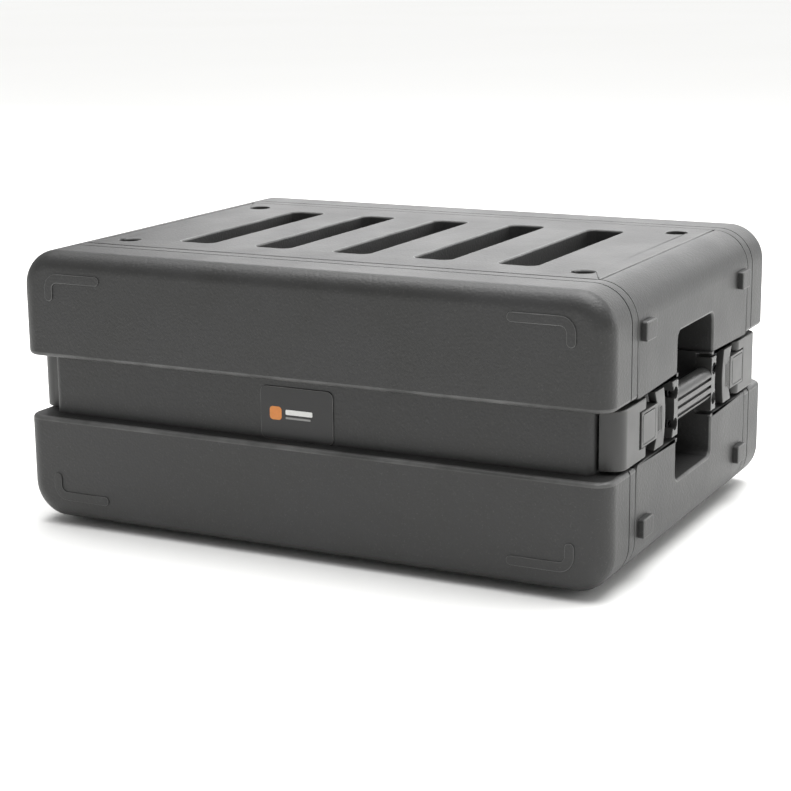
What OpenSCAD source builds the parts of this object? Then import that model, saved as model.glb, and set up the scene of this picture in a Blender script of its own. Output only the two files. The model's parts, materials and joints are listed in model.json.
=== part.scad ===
// Four-unit rack case: a moulded body on rubber feet with a removable lid at each end.
// It stands at Z = 0, centred on X and Y, and the front lid faces -Y.
// The rear half mirrors the front half, and the left side mirrors the right side.

/* [Case] */
// Height of the rack bay in rack units
rack_units = 4; // [3:1:10]
// Width across the side panels, without their bumpers
case_w = 580; // [570:1:720]
// Height of top or bottom cover over the rack bay
cover_h = 37.6; // [35:0.1:60]
// Depth of the body between its two lids
body_d = 299; // [280:1:480]
// Depth that each lid adds in front of the body
lid_d = 62.5; // [60:0.5:90]
// Radius of the four long edges
edge_r = 34; // [30:1:40]
// Radius of the edges round a lid's face
lid_edge_r = 17; // [12:1:24]
// Wall of the mouldings
wall = 4; // [3.5:0.1:4.5]

/* [Top and bottom] */
// Number of stacking slots across a panel
slot_count = 5; // [1:1:6]
// Distance from one slot to the next
slot_pitch = 81.5; // [60:0.5:90]
// Width of a slot
slot_w = 36; // [20:1:45]
// Length of a slot
slot_l = 218; // [150:1:240]
// Depth of a slot
slot_depth = 18; // [6:1:20]
// Radius of a round stacking recess
cup_r = 10.25; // [8:0.25:12]
// Depth of a round stacking recess
cup_depth = 5; // [3:0.5:6]
// Distance of the recesses from the side of the case
cup_in_x = 61; // [56:1:70]
// Distance of the recesses from the ends of the body
cup_in_y = 30.5; // [20:0.5:50]
// Height that the feet hold the case off the ground
foot_drop = 6; // [4:0.5:12]

/* [Sides] */
// Height of the channel round the middle of the case
channel_h = 57; // [54:0.5:70]
// Depth of the channel in a side panel
channel_d = 15; // [14.5:0.5:18]
// Length of the hand pocket
pocket_l = 98.4; // [90:0.2:120]
// Height of the hand pocket
pocket_h = 134; // [110:1:160]
// Depth of the hand pocket
pocket_d = 40; // [36:0.5:41]
// Corner radius of the hand pocket
pocket_r = 8; // [4:1:12]
// Distance that a side bumper stands out
bumper_t = 5.5; // [3:0.5:10]
// Length of a side bumper
bumper_l = 24; // [16:1:30]
// Height of a side bumper
bumper_h = 17; // [12:1:24]

/* [Handles] */
// Height of a handle's end plates
plate_h = 50; // [46:1:52]
// Width of a handle's end plates
plate_w = 14.5; // [14:0.5:18]
// Height of the grip
grip_h = 31; // [24:1:36]
// Thickness of the grip
grip_t = 17; // [14:0.5:20]
// Distance between the two screws of an end plate
screw_gap = 28; // [26:1:32]

/* [Latches] */
// Height of a latch
latch_h = 51; // [49:0.5:53]
// Distance that a latch block reaches in front of the seam
block_front = 36; // [34:0.5:40]
// Radius of the corner of a latch block
block_r = 14; // [10:1:16]
// Distance of the lever's pivot behind the seam
pivot_y = 20; // [19:0.5:22]
// Radius of the block's round pivot lugs
lug_r = 7; // [6.5:0.1:7]
// Radius of the pivot pin
pin_r = 1.75; // [1.5:0.05:1.8]
// Height of the lever's pad
pad_h = 31; // [28:0.5:33]
// Distance from the seam to the start of the lever's head
head_from = 45; // [42:0.5:48]
// Distance from the seam to the end of the lever's head
head_to = 70.5; // [68:0.5:74]
// Distance that the hook overlaps its strike
hook_grip = 1; // [0.8:0.1:1.2]
// Play between the hook and its strike
hook_play = 2.8; // [2.6:0.1:3.2]
// Travel of the trigger
trigger_travel = 1.8; // [1:0.1:1.8]

/* [Rack rails] */
// Distance that the rails are set back from the ends of the body
rail_set = 25; // [15:1:40]
// Thickness of the steel in rails and frames
steel_t = 2; // [1.5:0.1:2.5]
// Radius of the equipment holes
rack_hole_r = 3.3; // [3.1:0.1:3.5]

/* [Hidden] */
$fn = 64;

// EIA-310 rack sizes
unit_h = 44.45;
rack_hole_x = 465.1 / 2;
rack_hole_z = [6.35, 22.225, 38.1];
rack_clear_x = 225;

// Overall places, with Z = 0 at mid height until a piece is raised
case_h = rack_units * unit_h + 2 * cover_h;
half_w = case_w / 2;
half_h = case_h / 2;
half_d = body_d / 2;
mid_z = foot_drop + half_h;
seam_x = half_w - edge_r;
seam_gap = 1.2;
panel_gap = 0.7;
lap = 12;
past = 2;
run_gap = 0.05;

// Slots, recesses and feet
slot_r = 8;
slot_floor = 3;
cup_x = half_w - cup_in_x;
cup_y = half_d - cup_in_y;
foot_r = cup_r - 0.75;

// Side panel
floor_x = half_w - channel_d;
pocket_floor = 3;
reach_d = 27;
pocket_neck_l = pocket_l - 7.4;
pocket_neck_h = channel_h + 3;
frame_x = half_w - pocket_d - pocket_floor;
bumper_r = 3;
bumper_y = half_d - 18.5;
bumper_z = half_h - 42;

// Inner frame and its screws
boss_r = 5;
side_boss_r = 6;
boss_drop = 8;
frame_flange = 20;
frame_half_h = half_h - wall - boss_drop;
frame_half_d = half_d - 12;
flange_x = frame_x - frame_flange / 2;
flange_screw_y = half_d - 69.5;
side_screw_y = half_d - 39.5;
side_screw_z = frame_half_h - 14.5;
frame_screw_r = 2;
frame_screw_l = 8;
frame_screw_hole = 12;
frame_head = [4, 2.4];

// Rails
rail_h = rack_units * unit_h - 0.8;
rail_x = frame_x - steel_t;
rail_depth = 30;
rail_y = half_d - rail_set;
rail_bolt_z = rail_h / 2 - 18.5;
rail_bolt_r = 2.5;
rail_bolt_l = 2 * steel_t + 6;
rail_head = [4.5, 2.8];
nut_r = 4.6;
nut_t = 4;

// Handle
plate_y = pocket_l / 2 - 2.7;
plate_screw_y = plate_y + 6.8;
grip_r = grip_t / 2 - 0.5;
grip_rib = 7.2;
grip_rib_drop = 1.2;
grip_cut = [2.5, 3];
handle_gap = 0.3;
reach_from = plate_y + plate_w + 0.5;
reach_to = half_d - head_to;
handle_screw_r = 2.5;
handle_head = [4.8, 3];
head_seat = 9;
handle_screw_l = channel_d - head_seat + wall + 6;
seat_r = 5.6;
hex_r = 1.9;
hex_depth = 1.6;
backing = [9, 44];
backing_y = plate_screw_y - 4.1;

// Latch, measured from the side plane and the seam
bow_rise = 4.5;
bow_r = (latch_h * latch_h / 4 + bow_rise * bow_rise) / (2 * bow_rise);
block_t = 19.5;
block_step = 15;
arm_t = channel_d - 1;
opening_y = 6.8;
pad_y = 10;
pad_gap = 0.5;
pad_proud = 0.8;
pad_deep = 11;
pad_relief = [4, 3.3];
head_t = 7;
head_root = head_from + 3.5;
head_tip = head_from - 1.5;
hook_y = head_from + 12 + hook_play;
hook_t = 5;
strike_t = 2;
strike_y = head_from - 1;
strike_lip = 3;
strike_h = 20;
strike_top = 9.2;
strike_foot = 8;
strike_screw_l = 9;
strike_head = [3.2, 1.8];
hook_h = strike_h - 2;
hook_in = strike_top + hook_grip;
trigger_edge = 2.5;
trigger_r = 2;
trigger_t = 2.4;
trigger_gap = 0.3;
trigger_back = 1.5;
spring_y = 31;
spring_r = 2.5;
spring_l = 5;
spring_turns = 6;
spring_wire_r = 0.45;
pocket_x = -trigger_back - trigger_travel - 0.1;
well_r = 3.3;
rib_count = 4;
rib_pitch = 3.6;
rib_y = head_from + 4.5;
rib_w = 1;
rib_h = 2 * pad_h / 3;
rib_cut = 0.8;
band_gap = 2;
band_y = 45;
band_r = 8;
band_half = half_w - block_t - band_gap;
band_step = 14;
rim_w = 1.6;
rim_cut = 1.2;
block_screw_r = 1.75;
block_screw_z = 17;
block_screw_y = 22;
block_screw_l = wall + band_gap + 10;
block_screw_hole = 12;
block_head = [3.5, 2];

// Gasket and label
gasket_w = 1.5;
gasket_d = 2.5;
label_size = [73, 48];
label_at = [-7.5, -4.4];
label_r = 6;
label_t = 1.2;
mark_w = 8.5;
mark_t = 1.2;
mark_r = 14;
mark_in = [29.5, 19.5];
mark_arm = [42.2, 7.4];

// ---- helpers ----

module raised() translate([0, 0, mid_z]) children();

module along_x(x0, x1)
    translate([x0, 0, 0]) rotate([90, 0, 90]) linear_extrude(x1 - x0) children();

module along_y(y0, y1)
    translate([0, y1, 0]) rotate([90, 0, 0]) linear_extrude(y1 - y0) children();

module along_z(z0, z1)
    translate([0, 0, z0]) linear_extrude(z1 - z0) children();

module rod_x(x0, x1, r) along_x(x0, x1) circle(r);

module mirrored_x() {
    children();
    mirror([1, 0, 0]) children();
}

module mirrored_y() {
    children();
    mirror([0, 1, 0]) children();
}

module mirrored_z() {
    children();
    mirror([0, 0, 1]) children();
}

module on_side(right) {
    if (right) children();
    else mirror([1, 0, 0]) children();
}

module on_end(front) {
    if (front) children();
    else mirror([0, 1, 0]) children();
}

// Puts a piece drawn from the right side plane and the front seam at one of the four corners
module at_corner(right, front)
    raised() on_side(right) on_end(front) translate([half_w, -half_d, 0]) children();

module at_all_corners()
    raised() mirrored_x() mirrored_y() translate([half_w, -half_d, 0]) children();

module rounded_rect(w, h, r) {
    square([w - 2 * r, h], center = true);
    square([w, h - 2 * r], center = true);
    for (sx = [-1, 1], sy = [-1, 1])
        translate([sx * (w / 2 - r), sy * (h / 2 - r)]) circle(r);
}

// Rectangle from x = -depth to x = back, with its two corners at -depth rounded
module rounded_front(depth, span, r, back) {
    translate([r - depth, -span / 2]) square([depth - r + back, span]);
    translate([-depth, r - span / 2]) square([depth + back, span - 2 * r]);
    for (s = [-1, 1]) translate([r - depth, s * (span / 2 - r)]) circle(r);
}

// Cross-section of the case on X and Z, drawn in by inset
module case_profile(inset)
    rounded_rect(case_w - 2 * inset, case_h - 2 * inset, edge_r - inset);

module case_ring(outer, inner) difference() {
    case_profile(outer);
    case_profile(inner);
}

// Cross-section at the seam, which steps in at the side channels
module seam_profile(inset) difference() {
    case_profile(inset);
    for (s = [-1, 1])
        translate([s * (floor_x - inset + case_w / 2), 0])
            square([case_w, channel_h + 2 * inset], center = true);
}

// Pan head screw along -X: its head's underside is at x = 0, and head is its radius and thickness
module screw(r, l, head) {
    rod_x(-l, 0, r);
    rod_x(0, head.y, head.x);
}

// ---- top and bottom panels ----

module slot_outline(grow) rounded_rect(slot_w + 2 * grow, slot_l + 2 * grow, slot_r + grow);

module at_slots()
    for (i = [0:slot_count - 1])
        translate([(i - (slot_count - 1) / 2) * slot_pitch, 0, 0]) children();

module at_cups() mirrored_x() mirrored_y() translate([cup_x, cup_y, 0]) children();

module at_flange_screws()
    mirrored_x() for (y = [-flange_screw_y, 0, flange_screw_y]) translate([flange_x, y, 0]) children();

module cover() difference() {
    union() {
        along_y(-half_d, half_d) {
            intersection() {
                case_ring(0, wall);
                translate([0, half_h]) square([2 * (seam_x - panel_gap), 2 * edge_r], center = true);
            }
            intersection() {
                case_ring(wall / 2, wall);
                translate([0, half_h]) square([2 * (seam_x + lap), 2 * edge_r], center = true);
            }
        }
        at_slots() along_z(half_h - slot_depth - slot_floor, half_h - wall / 2) slot_outline(slot_floor);
        at_cups() along_z(half_h - cup_depth - slot_floor, half_h - wall / 2) circle(cup_r + slot_floor);
        at_flange_screws() along_z(frame_half_h, half_h - wall / 2) circle(boss_r);
    }
    at_slots() along_z(half_h - slot_depth, half_h + past) slot_outline(0);
    at_cups() along_z(half_h - cup_depth, half_h + past) circle(cup_r);
    at_flange_screws() along_z(frame_half_h - past, frame_half_h + boss_drop)
        circle(frame_screw_r + run_gap);
}

module top_panel() color("#4a4a49") raised() cover();

module bottom_panel() color("#464645") raised() mirror([0, 0, 1]) cover();

module rubber_feet() color("#1f1f1f") at_cups() {
    along_z(foot_drop, foot_drop + cup_depth) circle(cup_r - run_gap);
    along_z(0, foot_drop) circle(foot_r);
}

// ---- side panels ----

module side_skin() difference() {
    intersection() {
        case_ring(0, wall);
        translate([seam_x + panel_gap, -case_h]) square([case_w, 2 * case_h]);
    }
    intersection() {
        case_ring(wall / 2, wall + past);
        translate([0, -case_h]) square([seam_x + lap + panel_gap, 2 * case_h]);
    }
}

module pocket_outline(grow) {
    difference() {
        rounded_rect(pocket_l + 2 * grow, pocket_h + 2 * grow, pocket_r + grow);
        square([2 * pocket_l, pocket_neck_h - 2 * grow], center = true);
    }
    square([pocket_neck_l + 2 * grow, pocket_neck_h + 2 * pocket_r], center = true);
}

// Deep part of the channel, where fingers reach behind a lever's head
module reach_outline(grow) translate([reach_from - grow, -channel_h / 2 - grow])
    square([reach_to - reach_from + 2 * grow, channel_h + 2 * grow]);

module at_side_bosses()
    mirrored_y() mirrored_z() translate([0, side_screw_y, side_screw_z]) children();

module side_shell() difference() {
    union() {
        along_y(-half_d, half_d) {
            side_skin();
            intersection() {
                case_profile(0);
                translate([floor_x - wall, -channel_h / 2 - wall])
                    square([channel_d + wall, channel_h + 2 * wall]);
            }
        }
        along_x(frame_x, half_w - wall / 2) pocket_outline(pocket_floor);
        mirrored_y() along_x(half_w - reach_d - pocket_floor, floor_x) reach_outline(pocket_floor);
        at_side_bosses() rod_x(frame_x, half_w - wall, side_boss_r);
        mirrored_y() mirrored_z() translate([0, bumper_y, bumper_z])
            along_x(half_w - wall, half_w + bumper_t) rounded_rect(bumper_l, bumper_h, bumper_r);
    }
    translate([floor_x, -body_d, -channel_h / 2]) cube([channel_d + past, 2 * body_d, channel_h]);
    along_x(half_w - pocket_d, half_w + past) pocket_outline(0);
    mirrored_y() along_x(half_w - reach_d, half_w) reach_outline(0);
    at_side_bosses() rod_x(frame_x - past, frame_x + frame_screw_hole, frame_screw_r + run_gap);
    at_handle_screws() rod_x(floor_x - wall - past, floor_x + past, handle_screw_r + run_gap);
    mirrored_y() translate([0, -half_d, 0]) at_strike_screws()
        rod_x(floor_x - wall - past, floor_x + past, block_screw_r + run_gap);
}

module left_side_panel() color("#50504f") raised() mirror([1, 0, 0]) side_shell();

module right_side_panel() color("#50504f") raised() side_shell();

// ---- inner frame ----

module frame_shape() difference() {
    union() {
        translate([frame_x - steel_t, -frame_half_d, -frame_half_h])
            cube([steel_t, 2 * frame_half_d, 2 * frame_half_h]);
        mirrored_z() translate([frame_x - frame_flange, -frame_half_d, frame_half_h - steel_t])
            cube([frame_flange, 2 * frame_half_d, steel_t]);
    }
    at_side_bosses() rod_x(frame_x - steel_t - past, frame_x + past, frame_screw_r + run_gap);
    at_rail_bolts() rod_x(frame_x - steel_t - past, frame_x + past, rail_bolt_r + run_gap);
    mirrored_z() for (y = [-flange_screw_y, 0, flange_screw_y]) translate([flange_x, y, 0])
        along_z(frame_half_h - steel_t - past, frame_half_h + past) circle(frame_screw_r + run_gap);
}

module left_side_frame() color("#8d9094") raised() mirror([1, 0, 0]) frame_shape();

module right_side_frame() color("#8d9094") raised() frame_shape();

module frame_screws() color("#b9bcc0") raised() {
    mirrored_z() at_flange_screws() translate([0, 0, frame_half_h - steel_t])
        rotate([0, 90, 0]) screw(frame_screw_r, frame_screw_l, frame_head);
    mirrored_x() at_side_bosses() translate([frame_x - steel_t, 0, 0])
        mirror([1, 0, 0]) screw(frame_screw_r, frame_screw_l + steel_t, frame_head);
}

// ---- rack rails ----

module at_rail_bolts()
    mirrored_y() for (z = [-rail_bolt_z, 0, rail_bolt_z])
        translate([0, rail_y - rail_depth / 2, z]) children();

module rail_shape() difference() {
    translate([0, 0, -rail_h / 2]) {
        translate([rack_clear_x, -rail_y, 0]) cube([rail_x - rack_clear_x, steel_t, rail_h]);
        translate([rail_x - steel_t, -rail_y, 0]) cube([steel_t, rail_depth, rail_h]);
    }
    for (u = [0:rack_units - 1], z = rack_hole_z)
        translate([rack_hole_x, 0, (u - rack_units / 2) * unit_h + z])
            along_y(-rail_y - past, -rail_y + steel_t + past) circle(rack_hole_r);
    at_rail_bolts() rod_x(rail_x - steel_t - past, rail_x + past, rail_bolt_r + run_gap);
}

module rail(right, front) color("#2b2c2e") raised() on_side(right) on_end(front) rail_shape();

module front_left_rail() rail(false, true);

module front_right_rail() rail(true, true);

module rear_left_rail() rail(false, false);

module rear_right_rail() rail(true, false);

module rail_bolts() color("#b9bcc0") raised() mirrored_x() at_rail_bolts()
    translate([rail_x - steel_t, 0, 0]) mirror([1, 0, 0]) screw(rail_bolt_r, rail_bolt_l, rail_head);

module rail_nuts() color("#a8abb0") raised() mirrored_x() at_rail_bolts() difference() {
    along_x(frame_x, frame_x + nut_t) circle(nut_r, $fn = 6);
    rod_x(frame_x - past, frame_x + nut_t + past, rail_bolt_r + run_gap);
}

// ---- handles ----

module at_handle_screws()
    mirrored_y() mirrored_z() translate([0, plate_screw_y, screw_gap / 2]) children();

// End plate on Y and Z, with the edge that faces the latch curved in
module plate_outline() difference() {
    translate([plate_y, -plate_h / 2]) square([plate_w, plate_h]);
    translate([plate_y + plate_w - bow_rise + bow_r, 0]) circle(bow_r, $fn = 128);
}

module grip_outline() difference() {
    translate([half_w - grip_t / 2, 0]) rounded_rect(grip_t, grip_h, grip_r);
    for (i = [-1:1]) translate([half_w - grip_cut.x, i * grip_rib - grip_rib_drop - grip_cut.y / 2])
        square([grip_cut.x + past, grip_cut.y]);
}

module handle_shape() difference() {
    union() {
        mirrored_y() along_x(floor_x, half_w) plate_outline();
        along_y(-plate_y - past, plate_y + past) grip_outline();
    }
    at_handle_screws() {
        rod_x(floor_x - past, half_w + past, handle_screw_r + run_gap);
        rod_x(half_w - head_seat, half_w + past, seat_r);
    }
    mirrored_y() translate([floor_x - plate_w, pocket_neck_l / 2 - handle_gap, -plate_h / 2])
        cube([plate_w, plate_w, plate_h]);
}

module left_handle() color("#9c9c9a") raised() mirror([1, 0, 0]) handle_shape();

module right_handle() color("#9c9c9a") raised() handle_shape();

module handle_screws() color("#2c2c2c") raised() mirrored_x() at_handle_screws() difference() {
    translate([half_w - head_seat, 0, 0]) screw(handle_screw_r, handle_screw_l, handle_head);
    translate([half_w - head_seat + handle_head.y, 0, 0]) along_x(-hex_depth, past) circle(hex_r, $fn = 6);
}

module handle_backing_plates() color("#8d9094") raised() mirrored_x() difference() {
    mirrored_y() translate([floor_x - wall - steel_t, backing_y, -backing.y / 2])
        cube([steel_t, backing.x, backing.y]);
    at_handle_screws() rod_x(floor_x - wall - steel_t - past, floor_x, handle_screw_r + run_gap);
}

// ---- lids ----

// Plan of the recessed middle band, drawn in by inset
module band_plan(inset) {
    rotate(90) rounded_front(band_y - inset, 2 * (band_half - inset), band_r - inset, past);
    translate([inset - floor_x, inset - band_step]) square([2 * (floor_x - inset), band_step + past]);
}

module band_space(inset) difference() {
    along_z(-channel_h / 2 - inset, channel_h / 2 + inset)
        translate([-case_w, -2 * lid_d]) square([2 * case_w, 3 * lid_d]);
    along_z(-channel_h, channel_h) band_plan(inset);
}

// Solid form of a lid, drawn in by inset: a cross of two slabs with four turned corners
module lid_block(inset, back) {
    flat_x = half_w - edge_r;
    flat_z = half_h - edge_r;
    along_x(-flat_x, flat_x) rounded_front(lid_d - inset, 2 * (half_h - inset), lid_edge_r - inset, back);
    along_z(-flat_z, flat_z) rotate(90)
        rounded_front(lid_d - inset, 2 * (half_w - inset), lid_edge_r - inset, back);
    for (sx = [-1, 1], sz = [-1, 1]) translate([sx * flat_x, 0, sz * flat_z]) rotate([-90, 0, 0])
        rotate_extrude() intersection() {
            rotate(90) rounded_front(lid_d - inset, 2 * (edge_r - inset), lid_edge_r - inset, back);
            translate([0, -2 * lid_d]) square([edge_r, 3 * lid_d]);
        }
}

module lid_form(inset, back) difference() {
    lid_block(inset, back);
    band_space(inset);
}

module corner_mark() translate([half_w - mark_in.x - mark_r, half_h - mark_in.y - mark_r]) {
    intersection() {
        difference() {
            circle(mark_r);
            circle(mark_r - mark_w);
        }
        square(mark_r + past);
    }
    translate([-mark_arm.x, mark_r - mark_w]) square([mark_arm.x, mark_w]);
    translate([mark_r - mark_w, -mark_arm.y]) square([mark_w, mark_arm.y]);
    translate([-mark_arm.x, mark_r - mark_w / 2]) circle(mark_w / 2);
    translate([mark_r - mark_w / 2, -mark_arm.y]) circle(mark_w / 2);
}

module at_block_screws()
    mirrored_z() translate([0, -block_screw_y, block_screw_z]) children();

module lid_shape() {
    difference() {
        lid_form(0, -seam_gap);
        lid_form(wall, past);
        along_y(-band_step - rim_w, -band_step) case_ring(-past, rim_cut);
        along_y(-gasket_d, past) difference() {
            seam_profile((wall - gasket_w) / 2 - run_gap);
            seam_profile((wall + gasket_w) / 2 + run_gap);
        }
        mirrored_x() at_block_screws()
            rod_x(band_half - wall - past, band_half + past, block_screw_r + run_gap);
    }
    along_y(-lid_d - mark_t, -lid_d + wall / 2) mirrored_x() {
        corner_mark();
        mirror([0, 1]) corner_mark();
    }
}

module gasket_shape() along_y(-gasket_d, -run_gap) difference() {
    seam_profile((wall - gasket_w) / 2);
    seam_profile((wall + gasket_w) / 2);
}

module at_end(front) raised() on_end(front) translate([0, -half_d, 0]) children();

module front_lid() color("#484847") at_end(true) lid_shape();

module rear_lid() color("#484847") at_end(false) lid_shape();

module front_gasket() color("#161616") at_end(true) gasket_shape();

module rear_gasket() color("#161616") at_end(false) gasket_shape();

module label_plate() color("#d98243") at_end(true) translate([label_at.x, 0, label_at.y])
    along_y(-band_y - label_t, -band_y) rounded_rect(label_size.x, label_size.y, label_r);

// ---- latches, drawn from the right side plane and the front seam ----

module block_shape() difference() {
    union() {
        along_z(-latch_h / 2, latch_h / 2) {
            translate([-block_r, -block_front + block_r]) intersection() {
                circle(block_r);
                translate([0, -block_r]) square(block_r);
            }
            translate([-block_t, -block_front]) square([block_t - block_r, block_front - block_step]);
            translate([-block_r, -block_front + block_r])
                square([block_r, block_front - block_r + pivot_y]);
            translate([-block_t, block_r - block_front])
                square([block_t, block_front - block_r - block_step]);
            translate([-arm_t, -block_step - past]) square([arm_t, block_step + past + pivot_y]);
            translate([-lug_r, pivot_y]) circle(lug_r);
        }
        at_block_screws() rod_x(-block_t - band_gap, -block_t + past, boss_r);
    }
    along_z(-pad_h / 2 - pad_gap, pad_h / 2 + pad_gap)
        translate([-2 * block_t, opening_y]) square([3 * block_t, 2 * head_to]);
    along_z(-latch_h, latch_h) translate([-lug_r, pivot_y]) circle(pin_r);
    at_block_screws()
        rod_x(-block_t - band_gap - past, -block_t + block_screw_hole, block_screw_r + run_gap);
}

module latch_block(right, front) color("#565655") at_corner(right, front) block_shape();

module front_left_latch_block() latch_block(false, true);

module front_right_latch_block() latch_block(true, true);

module rear_left_latch_block() latch_block(false, false);

module rear_right_latch_block() latch_block(true, false);

module block_screws(front) color("#b9bcc0") raised() on_end(front) translate([0, -half_d, 0])
    mirrored_x() at_block_screws() translate([band_half - wall, 0, 0]) mirror([1, 0, 0])
        screw(block_screw_r, block_screw_l, block_head);

module front_block_screws() block_screws(true);

module rear_block_screws() block_screws(false);

module trigger_outline(gap)
    rounded_rect(head_from - pad_y - 2 * (trigger_edge + gap), pad_h - 2 * (trigger_edge + gap),
        trigger_r - gap);

module at_trigger() translate([0, (head_from + pad_y) / 2, 0]) children();

// Head on Y and Z: its wings widen from the pad to their tips
module head_outline() polygon([
    [head_to, -latch_h / 2], [head_to, latch_h / 2], [head_tip, latch_h / 2], [head_root, pad_h / 2],
    [head_root - past, 0], [head_root, -pad_h / 2], [head_tip, -latch_h / 2]
]);

module lever_shape() difference() {
    union() {
        along_z(-pad_h / 2, pad_h / 2) {
            translate([-pad_relief.x, pad_y]) square([pad_relief.x + pad_proud, head_root - pad_y]);
            translate([-pad_deep, pad_y + pad_relief.y])
                square([pad_deep, head_root - pad_y - pad_relief.y]);
        }
        along_x(-head_t, 0) intersection() {
            head_outline();
            translate([head_to - bow_r, 0]) circle(bow_r, $fn = 128);
        }
        translate([-hook_in, hook_y, -hook_h / 2]) cube([hook_in, hook_t, hook_h]);
    }
    along_z(-latch_h, latch_h) translate([-lug_r, pivot_y]) circle(pin_r + run_gap);
    at_trigger() along_x(pocket_x, past) trigger_outline(0);
    translate([0, spring_y, 0]) rod_x(pocket_x - spring_l, past, well_r);
    for (i = [0:rib_count - 1]) translate([-rib_cut, rib_y + i * rib_pitch, -rib_h / 2])
        cube([past + rib_cut, rib_w, rib_h]);
}

module lever(right, front) color("#6a6a69") at_corner(right, front) lever_shape();

module front_left_lever() lever(false, true);

module front_right_lever() lever(true, true);

module rear_left_lever() lever(false, false);

module rear_right_lever() lever(true, false);

module trigger(right, front) color("#7a7a79") at_corner(right, front)
    at_trigger() along_x(-trigger_back, trigger_t - trigger_back) trigger_outline(trigger_gap);

module front_left_trigger() trigger(false, true);

module front_right_trigger() trigger(true, true);

module rear_left_trigger() trigger(false, false);

module rear_right_trigger() trigger(true, false);

module pivot_pin(right, front) color("#c4c7ca") at_corner(right, front)
    along_z(-latch_h / 2, latch_h / 2) translate([-lug_r, pivot_y]) circle(pin_r);

module front_left_pivot_pin() pivot_pin(false, true);

module front_right_pivot_pin() pivot_pin(true, true);

module rear_left_pivot_pin() pivot_pin(false, false);

module rear_right_pivot_pin() pivot_pin(true, false);

// Coil spring in its well, as closed turns at the length that the pressed trigger leaves it
module spring(right, front) color("#d0d2d4") at_corner(right, front)
    translate([pocket_x - spring_l + spring_wire_r, spring_y, 0]) rotate([0, 90, 0])
        for (i = [0:spring_turns - 1])
            translate([0, 0, i * (spring_l - 2 * spring_wire_r) / (spring_turns - 1)])
                rotate_extrude() translate([spring_r, 0]) circle(spring_wire_r, $fn = 24);

module front_left_spring() spring(false, true);

module front_right_spring() spring(true, true);

module rear_left_spring() spring(false, false);

module rear_right_spring() spring(true, false);

// ---- strikes on the channel floor ----

module at_strike_screws()
    mirrored_z() translate([0, strike_y + strike_foot / 2, (strike_h + strike_foot) / 2]) children();

module latch_strikes() color("#a8abb0") at_all_corners() difference() {
    translate([-channel_d, strike_y, 0]) {
        translate([0, 0, -strike_h / 2 - strike_foot])
            cube([strike_t, strike_foot, strike_h + 2 * strike_foot]);
        translate([0, 0, -strike_h / 2]) cube([strike_t, hook_y - hook_play - strike_y, strike_h]);
        translate([0, hook_y - hook_play - strike_y - strike_lip, -strike_h / 2])
            cube([channel_d - strike_top, strike_lip, strike_h]);
    }
    at_strike_screws() rod_x(-channel_d - past, -channel_d + strike_t + past, block_screw_r + run_gap);
}

module strike_screws() color("#b9bcc0") at_all_corners() at_strike_screws()
    translate([strike_t - channel_d, 0, 0]) screw(block_screw_r, strike_screw_l, strike_head);

top_panel();
bottom_panel();
left_side_panel();
right_side_panel();
left_side_frame();
right_side_frame();
frame_screws();
front_left_rail();
front_right_rail();
rear_left_rail();
rear_right_rail();
rail_bolts();
rail_nuts();
rubber_feet();
left_handle();
right_handle();
handle_screws();
handle_backing_plates();
latch_strikes();
strike_screws();
front_lid();
rear_lid();
front_gasket();
rear_gasket();
label_plate();
front_left_latch_block();
front_right_latch_block();
rear_left_latch_block();
rear_right_latch_block();
front_block_screws();
rear_block_screws();
front_left_lever();
front_right_lever();
rear_left_lever();
rear_right_lever();
front_left_trigger();
front_right_trigger();
rear_left_trigger();
rear_right_trigger();
front_left_pivot_pin();
front_right_pivot_pin();
rear_left_pivot_pin();
rear_right_pivot_pin();
front_left_spring();
front_right_spring();
rear_left_spring();
rear_right_spring();
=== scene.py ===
import json
import math

import bmesh
import bpy
from mathutils import Matrix, Vector


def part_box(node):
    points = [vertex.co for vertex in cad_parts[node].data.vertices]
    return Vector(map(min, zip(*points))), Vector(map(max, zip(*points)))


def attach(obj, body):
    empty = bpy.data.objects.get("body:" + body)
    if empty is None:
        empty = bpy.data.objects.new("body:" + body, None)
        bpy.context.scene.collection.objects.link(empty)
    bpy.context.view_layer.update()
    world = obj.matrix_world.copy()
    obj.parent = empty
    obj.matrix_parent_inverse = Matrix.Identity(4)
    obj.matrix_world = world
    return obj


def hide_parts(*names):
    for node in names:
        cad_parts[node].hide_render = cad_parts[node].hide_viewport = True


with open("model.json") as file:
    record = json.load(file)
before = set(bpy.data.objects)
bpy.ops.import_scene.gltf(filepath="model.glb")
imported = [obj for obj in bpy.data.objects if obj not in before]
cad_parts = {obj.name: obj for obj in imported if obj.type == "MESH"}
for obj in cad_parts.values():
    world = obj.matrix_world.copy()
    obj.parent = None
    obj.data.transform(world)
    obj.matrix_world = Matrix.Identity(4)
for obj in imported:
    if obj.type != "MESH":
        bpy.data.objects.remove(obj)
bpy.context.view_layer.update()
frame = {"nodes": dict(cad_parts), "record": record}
mm = 0.001
print("frame loaded:", len(frame["nodes"]), "nodes")

# Places that many pieces share, all worked out from the frame
lidLow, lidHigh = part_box("front_lid")
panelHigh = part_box("top_panel")[1]
labelLow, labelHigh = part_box("label_plate")
halfWidth = lidHigh.x
halfHeight = (lidHigh.z - lidLow.z) / 2
midZ = (lidLow.z + lidHigh.z) / 2
seamY = panelHigh.y
sides = ("left", "right")
ends = ("front", "rear")


def linear(hexColour):  # sRGB hex to linear RGBA
    parts = [int(hexColour[i:i + 2], 16) / 255 for i in (1, 3, 5)]
    return [c / 12.92 if c <= 0.04045 else ((c + 0.055) / 1.055) ** 2.4 for c in parts] + [1.0]


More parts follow.
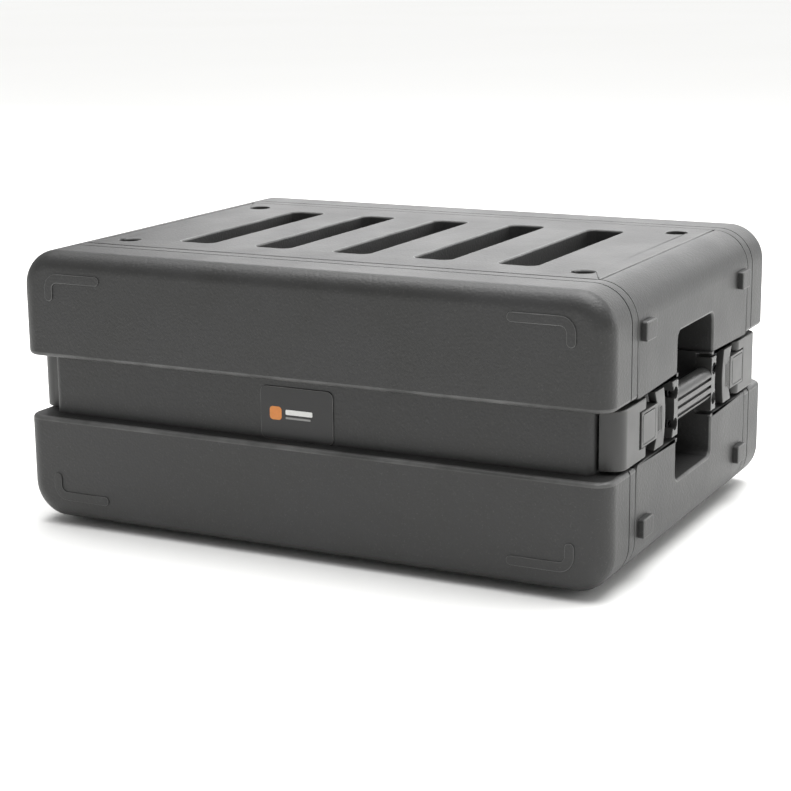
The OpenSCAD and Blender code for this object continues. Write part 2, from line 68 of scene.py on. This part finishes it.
def addNode(tree, kind, settings=None, links=None):  # keys are socket names, socket numbers or properties
    node = tree.nodes.new(kind)
    for key, value in (settings or {}).items():
        if isinstance(key, int) or key in node.inputs:
            node.inputs[key].default_value = value
        else:
            setattr(node, key, value)
    for key, socket in (links or {}).items():
        tree.links.new(socket, node.inputs[key])
    return node


def startMaterial(name, shader):  # a Principled shader and object coordinates
    made = bpy.data.materials.new(name)
    made.use_nodes = True
    tree = made.node_tree
    tree.nodes.clear()
    surface = addNode(tree, "ShaderNodeBsdfPrincipled", shader)
    addNode(tree, "ShaderNodeOutputMaterial", links={"Surface": surface.outputs["BSDF"]})
    place = addNode(tree, "ShaderNodeTexCoord").outputs["Object"]
    return made, tree, surface, place


def perMetre(sizeInMm):  # a texture's scale for features of that size
    return 1 / (sizeInMm * mm)


def mouldedPlastic(name, look):
    # Moulded polymer from an etched steel tool: a fine pebble breaks up the shine, colour is in the
    # polymer and hardly varies, and rubbed edges are a little lighter and smoother
    made, tree, surface, place = startMaterial(name, {"IOR": look["ior"], "Metallic": 0.0})
    drift = addNode(tree, "ShaderNodeTexNoise",
                    {"Scale": perMetre(look["driftSize"]), "Detail": 3.0, "Roughness": 0.6},
                    {"Vector": place})
    grain = addNode(tree, "ShaderNodeTexNoise",
                    {"Scale": perMetre(look["speckSize"]), "Detail": 2.0, "Roughness": 0.7},
                    {"Vector": place})
    driftShare = addNode(tree, "ShaderNodeMapRange",
                         {"From Min": 0.35, "From Max": 0.65}, {"Value": drift.outputs["Fac"]})
    body = addNode(tree, "ShaderNodeMix",
                   {"data_type": "RGBA", 6: linear(look["colour"]), 7: linear(look["driftColour"])},
                   {0: driftShare.outputs["Result"]})
    speckShare = addNode(tree, "ShaderNodeMapRange",
                         {"From Min": 0.6, "From Max": 0.8, "To Max": look["speck"]},
                         {"Value": grain.outputs["Fac"]})
    speckled = addNode(tree, "ShaderNodeMix", {"data_type": "RGBA", 7: linear(look["speckColour"])},
                       {0: speckShare.outputs["Result"], 6: body.outputs[2]})
    rubbed = addNode(tree, "ShaderNodeAttribute", {"attribute_name": "rubbed"})
    patches = addNode(tree, "ShaderNodeMapRange",
                      {"From Min": 0.4, "From Max": 0.7, "To Min": 0.25, "To Max": 1.0},
                      {"Value": drift.outputs["Fac"]})
    wear = addNode(tree, "ShaderNodeMath", {"operation": "MULTIPLY"},
                   {0: rubbed.outputs["Fac"], 1: patches.outputs["Result"]})
    wearShare = addNode(tree, "ShaderNodeMath", {"operation": "MULTIPLY", 1: look["wear"]},
                        {0: wear.outputs["Value"]})
    worn = addNode(tree, "ShaderNodeMix", {"data_type": "RGBA", 7: linear(look["wornColour"])},
                   {0: wearShare.outputs["Value"], 6: speckled.outputs[2]})
    tree.links.new(worn.outputs[2], surface.inputs["Base Color"])
    shine = addNode(tree, "ShaderNodeMapRange",
                    {"From Min": 0.35, "From Max": 0.65, "To Min": look["roughness"] - 0.03,
                     "To Max": look["roughness"] + 0.03}, {"Value": drift.outputs["Fac"]})
    shineWorn = addNode(tree, "ShaderNodeMath", {"operation": "MULTIPLY_ADD", 1: -0.08},
                        {0: wearShare.outputs["Value"], 2: shine.outputs["Result"]})
    tree.links.new(shineWorn.outputs["Value"], surface.inputs["Roughness"])
    pebble = addNode(tree, "ShaderNodeTexVoronoi",
                     {"feature": "SMOOTH_F1", "Scale": perMetre(look["pebbleSize"]), "Smoothness": 0.7},
                     {"Vector": place})
    pebbleBump = addNode(tree, "ShaderNodeBump",
                         {"Strength": look["pebble"], "Distance": look["pebbleDepth"] * mm, "invert": True},
                         {"Height": pebble.outputs["Distance"]})
    grainBump = addNode(tree, "ShaderNodeBump",
                        {"Strength": look["pebble"] * 0.5, "Distance": look["pebbleDepth"] * mm},
                        {"Height": grain.outputs["Fac"], "Normal": pebbleBump.outputs["Normal"]})
    tree.links.new(grainBump.outputs["Normal"], surface.inputs["Normal"])
    return made


# Injection-moulded polypropylene copolymer: charcoal, satin, coarse pebble
# The real pebble is about 1 mm across, and it is drawn at 2.4 mm so that it shows
shellLook = {
    "colour": "#292928", "driftColour": "#2f2f2f", "speckColour": "#4a4a49", "wornColour": "#6e6e6d",
    "driftSize": 60, "speckSize": 1.6, "speck": 0.7, "wear": 0.7, "pebbleSize": 2.4,
    "pebbleDepth": 0.24, "pebble": 0.7, "roughness": 0.48, "ior": 1.49,
}
# Glass-filled nylon of the latches: a shade lighter and smoother than the shell, with a finer tooth
latchLook = {
    "colour": "#2e2e2d", "driftColour": "#343433", "speckColour": "#444443", "wornColour": "#5e5e5c",
    "driftSize": 25, "speckSize": 0.9, "speck": 0.4, "wear": 0.6, "pebbleSize": 1.3,
    "pebbleDepth": 0.06, "pebble": 0.35, "roughness": 0.42, "ior": 1.53,
}
# Glass-filled nylon of the carry handles, polished a little by hands
handleLook = {
    "colour": "#2f2f2e", "driftColour": "#353534", "speckColour": "#454543", "wornColour": "#767674",
    "driftSize": 22, "speckSize": 0.9, "speck": 0.4, "wear": 0.6, "pebbleSize": 1.3,
    "pebbleDepth": 0.05, "pebble": 0.3, "roughness": 0.38, "ior": 1.53,
}
# Printed polycarbonate badge under a satin film
badgeLook = {
    "colour": "#222222", "driftColour": "#262626", "speckColour": "#303030", "wornColour": "#7a7a78",
    "driftSize": 30, "speckSize": 0.5, "speck": 0.2, "wear": 0.8, "pebbleSize": 0.9,
    "pebbleDepth": 0.01, "pebble": 0.2, "roughness": 0.42, "ior": 1.5,
}
# Black natural rubber of the feet and gaskets: dull, with a chalky bloom
rubberLook = {
    "colour": "#151515", "driftColour": "#1e1e1d", "speckColour": "#2c2c2a", "wornColour": "#343432",
    "driftSize": 9, "speckSize": 0.7, "speck": 0.5, "wear": 0.5, "pebbleSize": 0.8,
    "pebbleDepth": 0.04, "pebble": 0.4, "roughness": 0.72, "ior": 1.52,
}


def platedSteel(name, look):
    # Metal with a thin finish: rolling or turning lines catch the light, blotches dull it
    made, tree, surface, place = startMaterial(name, {"Metallic": look["metallic"]})
    stretched = addNode(tree, "ShaderNodeMapping", {"Scale": look["stretch"]}, {"Vector": place})
    lines = addNode(tree, "ShaderNodeTexNoise",
                    {"Scale": perMetre(look["lineSize"]), "Detail": 2.0},
                    {"Vector": stretched.outputs["Vector"]})
    blotch = addNode(tree, "ShaderNodeTexVoronoi",
                     {"Scale": perMetre(look["blotchSize"]), "feature": "F1"}, {"Vector": place})
    tint = addNode(tree, "ShaderNodeMix",
                   {"data_type": "RGBA", 6: linear(look["colour"]), 7: linear(look["blotchColour"])},
                   {0: blotch.outputs["Color"]})
    tree.links.new(tint.outputs[2], surface.inputs["Base Color"])
    dull = addNode(tree, "ShaderNodeMapRange",
                   {"From Min": 0.3, "From Max": 0.7, "To Min": look["roughness"] - 0.06,
                    "To Max": look["roughness"] + 0.08}, {"Value": lines.outputs["Fac"]})
    tree.links.new(dull.outputs["Result"], surface.inputs["Roughness"])
    bump = addNode(tree, "ShaderNodeBump", {"Strength": 0.25, "Distance": look["depth"] * mm},
                   {"Height": lines.outputs["Fac"]})
    tree.links.new(bump.outputs["Normal"], surface.inputs["Normal"])
    return made


# Hot-dip galvanised sheet: grey spangle a few millimetres across
galvanisedLook = {
    "colour": "#a9adb1", "blotchColour": "#8d9195", "metallic": 1.0, "roughness": 0.42,
    "stretch": (1.0, 0.06, 1.0), "lineSize": 0.8, "blotchSize": 5, "depth": 0.02,
}
# Bright zinc plate on turned and pressed steel
zincLook = {
    "colour": "#c3c6ca", "blotchColour": "#b0b4b9", "metallic": 1.0, "roughness": 0.28,
    "stretch": (0.1, 1.0, 1.0), "lineSize": 0.5, "blotchSize": 6, "depth": 0.01,
}
# Black oxide on alloy steel: nearly black, oily sheen
oxideLook = {
    "colour": "#2a2a2c", "blotchColour": "#222224", "metallic": 1.0, "roughness": 0.4,
    "stretch": (1.0, 1.0, 1.0), "lineSize": 0.6, "blotchSize": 3, "depth": 0.01,
}
# Black powder coat on rolled steel: a dielectric coat with orange peel
powderLook = {
    "colour": "#1b1b1c", "blotchColour": "#202021", "metallic": 0.0, "roughness": 0.5,
    "stretch": (1.0, 1.0, 1.0), "lineSize": 1.2, "blotchSize": 8, "depth": 0.05,
}
# Ground stainless of the pins and springs
pinLook = {
    "colour": "#c9cbcd", "blotchColour": "#bdbfc2", "metallic": 1.0, "roughness": 0.22,
    "stretch": (1.0, 1.0, 0.1), "lineSize": 0.4, "blotchSize": 4, "depth": 0.005,
}

materials = {
    "shell_plastic": mouldedPlastic("pebbledPolypropylene", shellLook),
    "latch_plastic": mouldedPlastic("latchNylon", latchLook),
    "handle_plastic": mouldedPlastic("handleNylon", handleLook),
    "label_vinyl": mouldedPlastic("badgePolycarbonate", badgeLook),
    "rubber": mouldedPlastic("blackRubber", rubberLook),
    "galvanised_steel": platedSteel("galvanisedSheet", galvanisedLook),
    "zinc_steel": platedSteel("zincPlate", zincLook),
    "black_steel": platedSteel("blackOxide", oxideLook),
    "rail_steel": platedSteel("blackPowderCoat", powderLook),
    "pin_steel": platedSteel("groundStainless", pinLook),
}
print("materials made:", len(materials))

slotOf = {part["node"]: part["material_slot"] for part in frame["record"]["subparts"]}
for node, piece in frame["nodes"].items():
    piece.data.materials.clear()
    piece.data.materials.append(materials[slotOf[node]])


def cleanShell(node):  # a merged copy of a CAD node whose flat faces are whole again
    shape = bmesh.new()
    shape.from_mesh(frame["nodes"][node].data)
    bmesh.ops.remove_doubles(shape, verts=shape.verts, dist=0.002 * mm)
    bmesh.ops.dissolve_limit(shape, angle_limit=math.radians(0.4), verts=shape.verts, edges=shape.edges,
                             use_dissolve_boundaries=False)
    bmesh.ops.triangulate(shape, faces=[face for face in shape.faces if len(face.verts) > 4],
                          quad_method="BEAUTY", ngon_method="BEAUTY")
    shape.faces.layers.float.new("rubbed")
    return shape


def roundEdges(shape, width, segments, where, sharpest=40):  # rounds sharp convex edges where() picks
    picked = []
    for edge in shape.edges:
        if edge.is_manifold and edge.is_convex and edge.calc_face_angle(0) > math.radians(sharpest):
            if where((edge.verts[0].co + edge.verts[1].co) / 2, edge):
                picked.append(edge)
    made = bmesh.ops.bevel(shape, geom=picked, offset=width * mm, offset_type="OFFSET", segments=segments,
                           profile=0.5, affect="EDGES", clamp_overlap=False, material=-1)
    rubbed = shape.faces.layers.float["rubbed"]
    for face in made["faces"]:
        face[rubbed] = 1.0


def finishPiece(shape, name, body, slotName, replaced=()):  # a bmesh becomes a piece that rides on its body
    mesh = bpy.data.meshes.new(name)
    shape.to_mesh(mesh)
    shape.free()
    for stale in ("custom_normal", "sharp_face", "sharp_edge"):
        if stale in mesh.attributes:
            mesh.attributes.remove(mesh.attributes[stale])
    mesh.shade_smooth()
    mesh.set_sharp_from_angle(angle=math.radians(35))
    mesh.materials.clear()
    mesh.materials.append(materials[slotName])
    piece = bpy.data.objects.new(name, mesh)
    bpy.context.scene.collection.objects.link(piece)
    shading = piece.modifiers.new("flatFacesStayFlat", "WEIGHTED_NORMAL")
    shading.keep_sharp = True
    shading.weight = 90
    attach(piece, body)
    if replaced:
        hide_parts(*replaced)
    return piece


def near(value, target, slack=0.3):
    return abs(value - target) < slack * mm


# Lids: edge widths are in millimetres
lidEdges = {"lip": 4.0, "rim": 0.8, "mark": 0.6, "lipHeight": 28.5, "cornerShare": 0.9, "cornerInset": 20}


def shapeLid(end):
    low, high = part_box(end + "_lid")
    outward = -1 if end == "front" else 1
    faceY = outward * max(abs(low.y), abs(high.y))  # top of the corner marks
    rimY = outward * min(abs(low.y), abs(high.y))
    cornerReach = lidEdges["cornerShare"] * math.hypot(halfWidth, halfHeight) - lidEdges["cornerInset"] * mm
    shape = cleanShell(end + "_lid")
    roundEdges(shape, lidEdges["lip"], 4, lambda at, edge:
               near(abs(at.z - midZ), lidEdges["lipHeight"] * mm)
               and near(edge.verts[0].co.z, edge.verts[1].co.z, 0.01))
    roundEdges(shape, lidEdges["mark"], 2, lambda at, edge: near(at.y, faceY, 0.02))
    roundEdges(shape, lidEdges["rim"], 2, lambda at, edge: near(edge.verts[0].co.y, rimY, 0.02)
               and near(edge.verts[1].co.y, rimY, 0.02)
               and (near(abs(at.x), halfWidth) or near(abs(at.z - midZ), halfHeight)
                    or math.hypot(abs(at.x), abs(at.z - midZ)) > cornerReach))
    return finishPiece(shape, end + "LidShell", end + "_lid", "shell_plastic", [end + "_lid"])


for end in ends:
    shapeLid(end)
print("lids shaped")


# Covers and side panels
coverEdges = {"slot": 2.0, "end": 0.8, "endZone": 35}


def shapeCover(node, name, outerZ):
    shape = cleanShell(node)
    roundEdges(shape, coverEdges["slot"], 3, lambda at, edge: near(edge.verts[0].co.z, outerZ, 0.02)
               and near(edge.verts[1].co.z, outerZ, 0.02)
               and abs(at.y) < seamY - coverEdges["endZone"] * mm)
    roundEdges(shape, coverEdges["end"], 2, lambda at, edge: near(edge.verts[0].co.z, outerZ, 0.02)
               and near(edge.verts[1].co.z, outerZ, 0.02))
    return finishPiece(shape, name, "case", "shell_plastic", [node])


shapeCover("top_panel", "topCover", lidHigh.z)
shapeCover("bottom_panel", "bottomCover", lidLow.z)

sideEdges = {"pocket": 2.5, "bumper": 1.2, "end": 0.8, "endZone": 5, "pocketReach": 70, "outerBand": 36}


def shapeSide(side):
    out = 1 if side == "right" else -1
    low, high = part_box(side + "_side_panel")
    bumperX = max(abs(low.x), abs(high.x))
    shape = cleanShell(side + "_side_panel")

    def onSkin(at, edge):
        return all(near(abs(vert.co.x), halfWidth, 0.02) for vert in edge.verts)

    roundEdges(shape, sideEdges["pocket"], 3, lambda at, edge: onSkin(at, edge)
               and abs(at.y) < seamY - sideEdges["endZone"] * mm
               and abs(at.z - midZ) < sideEdges["pocketReach"] * mm)
    roundEdges(shape, sideEdges["bumper"], 2, lambda at, edge: near(abs(at.x), bumperX, 0.02))
    roundEdges(shape, sideEdges["end"], 2, lambda at, edge: near(abs(edge.verts[0].co.y), seamY, 0.02)
               and near(abs(edge.verts[1].co.y), seamY, 0.02)
               and out * at.x > halfWidth - sideEdges["outerBand"] * mm)
    return finishPiece(shape, side + "SideShell", "case", "shell_plastic", [side + "_side_panel"])


for side in sides:
    shapeSide(side)
print("body panels shaped")


# Latches and handles
latchEdges = {"block": 1.1, "lever": 0.9, "trigger": 0.5, "inward": 14, "face": 0.5, "shortest": 1.2}
handleEdges = {"plate": 1.0, "beyondSeats": 20}

for end in ends:
    for side in sides:
        corner = end + "_" + side
        cornerName = end + side.capitalize()
        out = 1 if side == "right" else -1
        shape = cleanShell(corner + "_latch_block")
        roundEdges(shape, latchEdges["block"], 3, lambda at, edge:
                   out * at.x > halfWidth - latchEdges["inward"] * mm)
        finishPiece(shape, cornerName + "LatchBlock", end + "_lid", "latch_plastic",
                    [corner + "_latch_block"])
        shape = cleanShell(corner + "_lever")
        roundEdges(shape, latchEdges["lever"], 2, lambda at, edge:
                   out * at.x > halfWidth - latchEdges["face"] * mm
                   and edge.calc_length() > latchEdges["shortest"] * mm)
        finishPiece(shape, cornerName + "Lever", corner + "_latch", "latch_plastic", [corner + "_lever"])
        shape = cleanShell(corner + "_trigger")
        roundEdges(shape, latchEdges["trigger"], 2, lambda at, edge:
                   out * at.x > halfWidth - latchEdges["face"] * mm)
        finishPiece(shape, cornerName + "Trigger", corner + "_trigger", "latch_plastic",
                    [corner + "_trigger"])

for side in sides:
    out = 1 if side == "right" else -1
    shape = cleanShell(side + "_handle")
    roundEdges(shape, handleEdges["plate"], 3, lambda at, edge: near(out * at.x, halfWidth, 0.05)
               and min(abs(vert.co.z - midZ) for vert in edge.verts) > handleEdges["beyondSeats"] * mm)
    finishPiece(shape, side + "Handle", "case", "handle_plastic", [side + "_handle"])
print("latches and handles shaped")


# Badge with a plain printed pattern
badge = {
    "edge": 0.5, "printThickness": 0.15, "markSize": 12, "markRadius": 3.2, "markAt": -21,
    "barLength": 27, "barHeight": 4.6, "barRadius": 1.2, "barAt": (2.5, 1.6),
    "lineLength": 25, "lineHeight": 1.8, "lineRadius": 0.7, "lineAt": (1.5, -3.6),
    "orange": "#e08a3c", "white": "#e9e9e6", "grey": "#8e8e8c",
}


def printInk(name, colour):
    # Screen-printed ink: flat colour with a slightly uneven film, satin
    made, tree, surface, place = startMaterial(name, {"IOR": 1.5})
    film = addNode(tree, "ShaderNodeTexNoise", {"Scale": perMetre(2.5), "Detail": 2.0}, {"Vector": place})
    base = linear(colour)
    thin = [channel * 0.88 for channel in base[:3]] + [1.0]
    shade = addNode(tree, "ShaderNodeMix", {"data_type": "RGBA", 6: base, 7: thin},
                    {0: film.outputs["Fac"]})
    tree.links.new(shade.outputs[2], surface.inputs["Base Color"])
    rough = addNode(tree, "ShaderNodeMapRange", {"To Min": 0.32, "To Max": 0.42},
                    {"Value": film.outputs["Fac"]})
    tree.links.new(rough.outputs["Result"], surface.inputs["Roughness"])
    return made


def printedShape(name, size, radius, at, colour):  # a thin rounded plate on the badge
    centre = (labelLow + labelHigh) / 2
    thickness = badge["printThickness"] * mm
    shape = bmesh.new()
    bmesh.ops.create_cube(shape, size=1)
    bmesh.ops.scale(shape, verts=shape.verts, vec=(size[0] * mm, 2 * thickness, size[1] * mm))
    upright = [e for e in shape.edges if near(e.verts[0].co.x, e.verts[1].co.x, 0.01)
               and near(e.verts[0].co.z, e.verts[1].co.z, 0.01)]
    bmesh.ops.bevel(shape, geom=upright, offset=radius * mm, offset_type="OFFSET", segments=6, profile=0.5,
                    affect="EDGES", clamp_overlap=False, material=-1)
    bmesh.ops.translate(shape, verts=shape.verts,
                        vec=(centre.x + at[0] * mm, labelLow.y, centre.z + at[1] * mm))
    shape.faces.layers.float.new("rubbed")
    piece = finishPiece(shape, name, "front_lid", "label_vinyl")
    piece.data.materials.clear()
    piece.data.materials.append(printInk(name + "Ink", colour))
    return piece


shape = cleanShell("label_plate")
roundEdges(shape, badge["edge"], 2, lambda at, edge: near(at.y, labelLow.y, 0.02))
finishPiece(shape, "badgePlate", "front_lid", "label_vinyl", ["label_plate"])
printedShape("badgeMark", (badge["markSize"], badge["markSize"]), badge["markRadius"],
             (badge["markAt"], 0), badge["orange"])
printedShape("badgeBar", (badge["barLength"], badge["barHeight"]), badge["barRadius"],
             badge["barAt"], badge["white"])
printedShape("badgeLine", (badge["lineLength"], badge["lineHeight"]), badge["lineRadius"], badge["lineAt"],
             badge["grey"])
print("badge made")


# Floor, light and camera
studio = {
    "floor": "#f4f4f2", "floorHalf": 40, "sky": 0.35,
    "ceiling": {"strength": 2.2, "spread": 64},
    "overhead": {"at": (0.2, 0.5, 2.4), "size": (3.0, 2.0), "power": 80},
    "behind": {"at": (-0.6, 3.6, 1.5), "size": (4.0, 1.6), "power": 60},
    "right": {"at": (2.2, 1.9, 1.0), "size": (1.8, 1.4), "power": 25},
}
camera = {
    "at": (0.8190, -1.6137, 0.5328), "target": (-0.0083, -0.0045, 0.1044),
    "roll": -0.6814, "lens": 87.905, "sensor": 36,
}

floorMaterial, tree, surface, place = startMaterial("paleStudioFloor", {"Roughness": 0.9})
dapple = addNode(tree, "ShaderNodeTexNoise", {"Scale": 0.6, "Detail": 1.0}, {"Vector": place})
floorShade = addNode(tree, "ShaderNodeMix",
                     {"data_type": "RGBA", 6: linear(studio["floor"]), 7: linear("#f8f8f7")},
                     {0: dapple.outputs["Fac"]})
tree.links.new(floorShade.outputs[2], surface.inputs["Base Color"])
ground = bmesh.new()
bmesh.ops.create_grid(ground, x_segments=1, y_segments=1, size=studio["floorHalf"])
floorMesh = bpy.data.meshes.new("floor")
ground.to_mesh(floorMesh)
ground.free()
floorMesh.materials.append(floorMaterial)
floor = bpy.data.objects.new("floor", floorMesh)
bpy.context.scene.collection.objects.link(floor)

sky = bpy.data.worlds.new("softStudioSky")
sky.use_nodes = True
sky.node_tree.nodes["Background"].inputs["Color"].default_value = (1.0, 1.0, 1.0, 1.0)
sky.node_tree.nodes["Background"].inputs["Strength"].default_value = studio["sky"]
bpy.context.scene.world = sky
bpy.context.scene.view_settings.view_transform = "Standard"

# Even light straight down, so the floor stays pale far away
ceiling = bpy.data.lights.new("ceilingGlow", "SUN")
ceiling.energy = studio["ceiling"]["strength"]
ceiling.angle = math.radians(studio["ceiling"]["spread"])
bpy.context.scene.collection.objects.link(bpy.data.objects.new("ceilingGlow", ceiling))

for name in ("overhead", "behind", "right"):
    look = studio[name]
    lamp = bpy.data.lights.new(name + "Softbox", "AREA")
    lamp.shape = "RECTANGLE"
    lamp.size, lamp.size_y = look["size"]
    lamp.energy = look["power"]
    box = bpy.data.objects.new(name + "Softbox", lamp)
    box.location = look["at"]
    box.rotation_mode = "QUATERNION"
    box.rotation_quaternion = (Vector((0, 0, midZ)) - Vector(look["at"])).to_track_quat("-Z", "Y")
    bpy.context.scene.collection.objects.link(box)

lens = bpy.data.cameras.new("camera")
lens.lens = camera["lens"]
lens.sensor_width = camera["sensor"]
viewer = bpy.data.objects.new("camera", lens)
back = (Vector(camera["at"]) - Vector(camera["target"])).normalized()
right = Vector((0, 0, 1)).cross(back).normalized()
up = back.cross(right)
roll = math.radians(camera["roll"])
turned = Matrix((math.cos(roll) * right + math.sin(roll) * up,
                 math.cos(roll) * up - math.sin(roll) * right, back)).transposed()
viewer.matrix_world = Matrix.Translation(camera["at"]) @ turned.to_4x4()
bpy.context.scene.collection.objects.link(viewer)
bpy.context.scene.camera = viewer
print("studio made")
